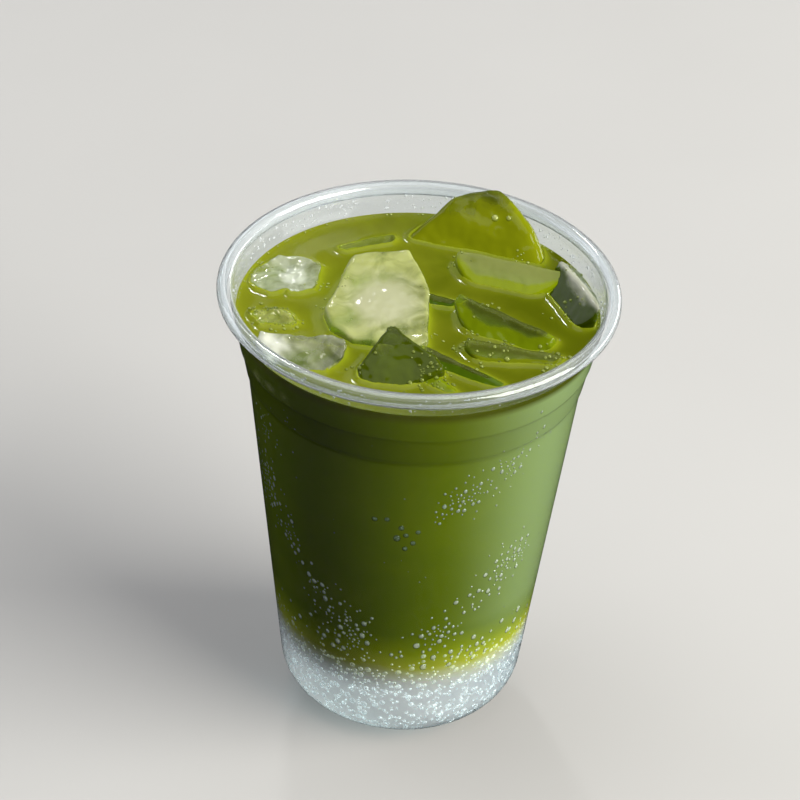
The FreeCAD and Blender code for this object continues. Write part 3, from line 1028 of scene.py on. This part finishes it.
def makeFizz(tree):
    random = np.random.default_rng(fizz["seed"])
    beads = []
    while len(beads) < fizz["count"]:
        level = random.uniform(fizz["lowest"], fizz["highest"])
        if random.uniform(0, 1) * (fizz["highest"] - fizz["dense"]) > fizz["highest"] - level:
            continue
        place, out = wallSpot(random.uniform(0, 360), level, cup["wall"] - intoWall)
        half = fizz["least"] + fizz["extra"] * random.uniform(0, 1) ** 2.6
        beads.append((place, out, (0, 0, 1), (half, half * 1.1, fizz["depth"]), random.uniform(0, 1)))
    finish = bubbleFinish("tonicFizz", ("#c2c9ca", "#939c9c"), ("#e8eded", "#bfc8c8"), 0.1, 0.4, "#a3a9a9")
    return beadPiece("tonicBubbles", apart(beads, 0.85), tree, finish, 7, 4)


wallDrops = {"seed": 3, "count": 460, "least": 0.12 * mm, "most": 0.42 * mm,
             "aboveDrink": 1.4 * mm, "belowTop": 3 * mm}


def makeWallDrops(tree):
    random = np.random.default_rng(wallDrops["seed"])
    beads = []
    for _ in range(wallDrops["count"]):
        level = random.uniform(drinkLevel + wallDrops["aboveDrink"], cupHeight - wallDrops["belowTop"])
        place, out = wallSpot(random.uniform(0, 360), level, cup["wall"])
        half = wallDrops["least"] + (wallDrops["most"] - wallDrops["least"]) * random.uniform(0, 1) ** 2.5
        beads.append((place, -out, (0, 0, 1), (half, half * 1.15, half * 0.55), 0))
    material, nodes = newMaterial("waterDrops")
    # splashed and condensed water: small clear lenses, bright where they catch the lamps
    water = addNode(nodes, "ShaderNodeBsdfPrincipled", {
        "Base Color": colour("#f4f8fa"), "Roughness": 0.05, "IOR": 1.33, "Transmission Weight": 0.7})
    finishMaterial(nodes, passLight(nodes, water.outputs[0], "#ffffff"))
    return beadPiece("waterDrops", beads, tree, material, 7, 4)


surfaceFoam = {
    "seed": 23,
    # bubbles gather where the tea meets the ice: how many clumps at each piece's waterline, bubbles in each,
    # least and largest half width in mm, and tone
    "shores": {
        "ice_right_blade": (7, 14, 0.3, 0.85, 0.35), "ice_middle_half_moon": (3, 9, 0.3, 0.7, 0.5),
        "ice_slab": (3, 12, 0.2, 0.5, 0.6), "ice_left_low": (6, 18, 0.15, 0.6, 0.4),
        "ice_right": (2, 20, 0.25, 0.6, 0.5), "ice_front_peak": (5, 11, 0.3, 0.75, 0.2),
        "ice_front_crescent": (3, 14, 0.3, 0.75, 0.2), "ice_left": (2, 10, 0.2, 0.5, 0.7),
        "ice_back_half_moon": (1, 14, 0.2, 0.5, 0.3), "ice_back_tall": (2, 10, 0.2, 0.5, 0.5),
    },
    "spread": 1.7 * mm,     # of a clump
    # single large ones on top of the ice: share of the way across and back, half width in mm, tone
    "perched": {"ice_back_tall": [(0.6, 0.62, 1.0, 0.95), (0.69, 0.6, 0.8, 0.6)]},
    "wallRing": 150,        # small bubbles where the surface meets the wall, and their half widths in mm
    "wallRingEach": (0.18, 0.42),
    "fromWall": 0.3 * mm,   # how far inside the wall that ring lies, and how far past it foam may reach
    "pastRing": 0.5 * mm,
}


def makeSurfaceFoam(tree, tea, ice):
    random = np.random.default_rng(surfaceFoam["seed"])
    solids = [solidTree(piece) for piece in (tea, *ice.values())]
    spots = []
    for node, (count, each, least, most, tone) in surfaceFoam["shores"].items():
        shore = waterlinePoints(ice[node].data)
        for _ in range(count):
            middle = shore[random.integers(len(shore))]
            for across, back in clumps(random, middle.xy, middle.xy, 1, each, surfaceFoam["spread"]):
                spots.append((across, back, (least + (most - least) * random.uniform(0, 1) ** 2) * mm, tone))
    for node, places in surfaceFoam["perched"].items():
        low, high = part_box(node)
        for across, back, half, tone in places:
            spot = (low.x + across * (high.x - low.x), low.y + back * (high.y - low.y))
            spots.append((*spot, half * mm, tone))
    ring = radiusAt(drinkLevel, cup["wall"]) - surfaceFoam["fromWall"]
    for _ in range(surfaceFoam["wallRing"]):
        turn = random.uniform(0, 2 * math.pi)
        half = random.uniform(*surfaceFoam["wallRingEach"]) * mm
        spots.append((ring * math.cos(turn), ring * math.sin(turn), half, 0.7))
    beads = []
    for across, back, half, tone in spots:
        if math.hypot(across, back) + half > ring + surfaceFoam["pastRing"]:
            continue
        above = Vector((across, back, cupHeight + 20 * mm))
        hits = [solid.ray_cast(above, Vector((0, 0, -1)))[:2] for solid in solids]
        place, out = max((hit for hit in hits if hit[0]), key=lambda hit: hit[0].z)
        place.z = min(place.z, cadHigh.z - half)
        beads.append((place, out, (0, 1, 0), (half, half, half * 0.75), tone))
    finish = bubbleFinish("teaFoam", ("#78862c", "#27360a"), ("#c3ca86", "#6f7c22"), 0.15, 0.42)
    return beadPiece("surfaceFoam", apart(beads, 0.9), tree, finish, 10, 6)


iceByWall = {
    "seed": 31,
    "near": 0.7,            # ice whose middle lies further out than this share of the surface shows through
    "patches": 4,           # painted light: pale patches under each such piece, where light comes down the ice
    "slivers": 14,          # painted shade: dark slivers of sunk ice, anywhere near the surface
    "depth": 0.05 * mm,
    "wander": 9,            # how far patches stray from their ice, in degrees
    "patchBelow": (4.5, 7),  # how far below the surface they lie and their half sizes, in mm
    "patchHalves": ((2, 4.5), (1.5, 3.2)),
    "sliverShare": (0.55, 0.92),  # where slivers lie on the way from the tonic to the surface
    "sliverHalves": ((0.6, 1.3), (1.4, 3)),
    "sides": 24,
    "rings": 6,
}


def wallPatch(verts, faces, marks, spot, half, tilt, tone):
    # a thin rounded patch that follows the wall; its front and back meet at its outline
    sides, rings = iceByWall["sides"], iceByWall["rings"]
    inset = cup["wall"] - intoWall
    for face in (1, -1):
        base = len(verts)
        for ring in range(rings + 1):
            share = ring / rings
            for side in range(sides if ring else 1):
                turn = 2 * math.pi * side / sides
                wide, high = half[0] * share * math.cos(turn), half[1] * share * math.sin(turn)
                level = spot[1] + wide * math.sin(tilt) + high * math.cos(tilt)
                radius = radiusAt(level, inset)
                across = wide * math.cos(tilt) - high * math.sin(tilt)
                place, out = wallSpot(spot[0] + math.degrees(across / radius), level, inset)
                verts.append(place + out * face * iceByWall["depth"] * (1 - share * share))
                marks.append((share, tone))

        def at(ring, side):
            return base + (1 + (ring - 1) * sides + side % sides if ring else 0)

        loops = [(at(0, 0), at(1, s), at(1, s + 1)) for s in range(sides)]
        loops += [(at(r, s), at(r + 1, s), at(r + 1, s + 1), at(r, s + 1))
                  for r in range(1, rings) for s in range(sides)]
        faces += [loop[::face] for loop in loops]


def makeIceByWall():
    random = np.random.default_rng(iceByWall["seed"])
    verts, faces, marks = [], [], []
    surface = radiusAt(drinkLevel, cup["wall"])
    for node in sorted(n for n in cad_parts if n.startswith("ice_")):
        middle = (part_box(node)[0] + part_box(node)[1]) / 2
        if middle.xy.length < iceByWall["near"] * surface:
            continue
        bearing = math.degrees(math.atan2(middle.x, -middle.y))
        for _ in range(iceByWall["patches"]):
            around = bearing + random.normal(0, iceByWall["wander"])
            spot = (around, drinkLevel - random.uniform(*iceByWall["patchBelow"]) * mm)
            half = [random.uniform(*ends) * mm for ends in iceByWall["patchHalves"]]
            wallPatch(verts, faces, marks, spot, half, random.normal(0, 0.5), random.uniform(0.65, 1))
    for _ in range(iceByWall["slivers"]):
        share = random.uniform(*iceByWall["sliverShare"])
        spot = (random.uniform(0, 360), tonicTop + (drinkLevel - tonicTop) * share)
        half = [random.uniform(*ends) * mm for ends in iceByWall["sliverHalves"]]
        wallPatch(verts, faces, marks, spot, half, random.normal(0, 0.9), random.uniform(0, 0.15))
    mesh = bpy.data.meshes.new("iceByWall")
    mesh.from_pydata(verts, [], faces)
    for label, values in zip(("towardsEdge", "tone"), zip(*marks)):
        markPoints(mesh, label, values)
    faceOutwards(mesh)
    material, nodes = newMaterial("iceBehindTea")
    # ice that lies against the wall: dark where it blocks the light, pale where light comes down it
    tone = addNode(nodes, "ShaderNodeAttribute", {"attribute_name": "tone"})
    ramp = addNode(nodes, "ShaderNodeValToRGB", links={"Fac": tone.outputs["Fac"]})
    stops = ramp.color_ramp.elements
    stops[0].color = colour("#10200c")
    stops[1].color = colour("#dde0a0")
    stops.new(0.5).color = colour("#8ea010")
    spread = addNode(nodes, "ShaderNodeAttribute", {"attribute_name": "towardsEdge"})
    fade = addNode(nodes, "ShaderNodeMapRange", {
        "interpolation_type": "SMOOTHSTEP", "From Min": 0.0, "From Max": 0.95, "To Min": 0.5, "To Max": 0.0},
        {"Value": spread.outputs["Fac"]})
    shade = addNode(nodes, "ShaderNodeBsdfDiffuse", links={"Color": ramp.outputs["Color"]})
    clear = addNode(nodes, "ShaderNodeBsdfTransparent")
    mixed = addNode(nodes, "ShaderNodeMixShader", links={
        0: fade.outputs[0], 1: clear.outputs[0], 2: shade.outputs[0]})
    finishMaterial(nodes, passLight(nodes, mixed.outputs[0], "#ffffff"))
    piece = pieceFromMesh("iceByWall", mesh, material)
    print("iceByWall:", len(faces), "faces")
    return belong(piece)


makeCamera()
makeLamps()
makeFloor()
turning = buildTurningTree()
makeCup(turning)
makeTonic(turning)
ice = makeIce()
tea = makeMatcha(ice)
beading = buildBeadTree()
makeWallBubbles(beading)
makeFizz(beading)
makeWallDrops(beading)
makeIceByWall()
makeSurfaceFoam(beading, tea, ice)
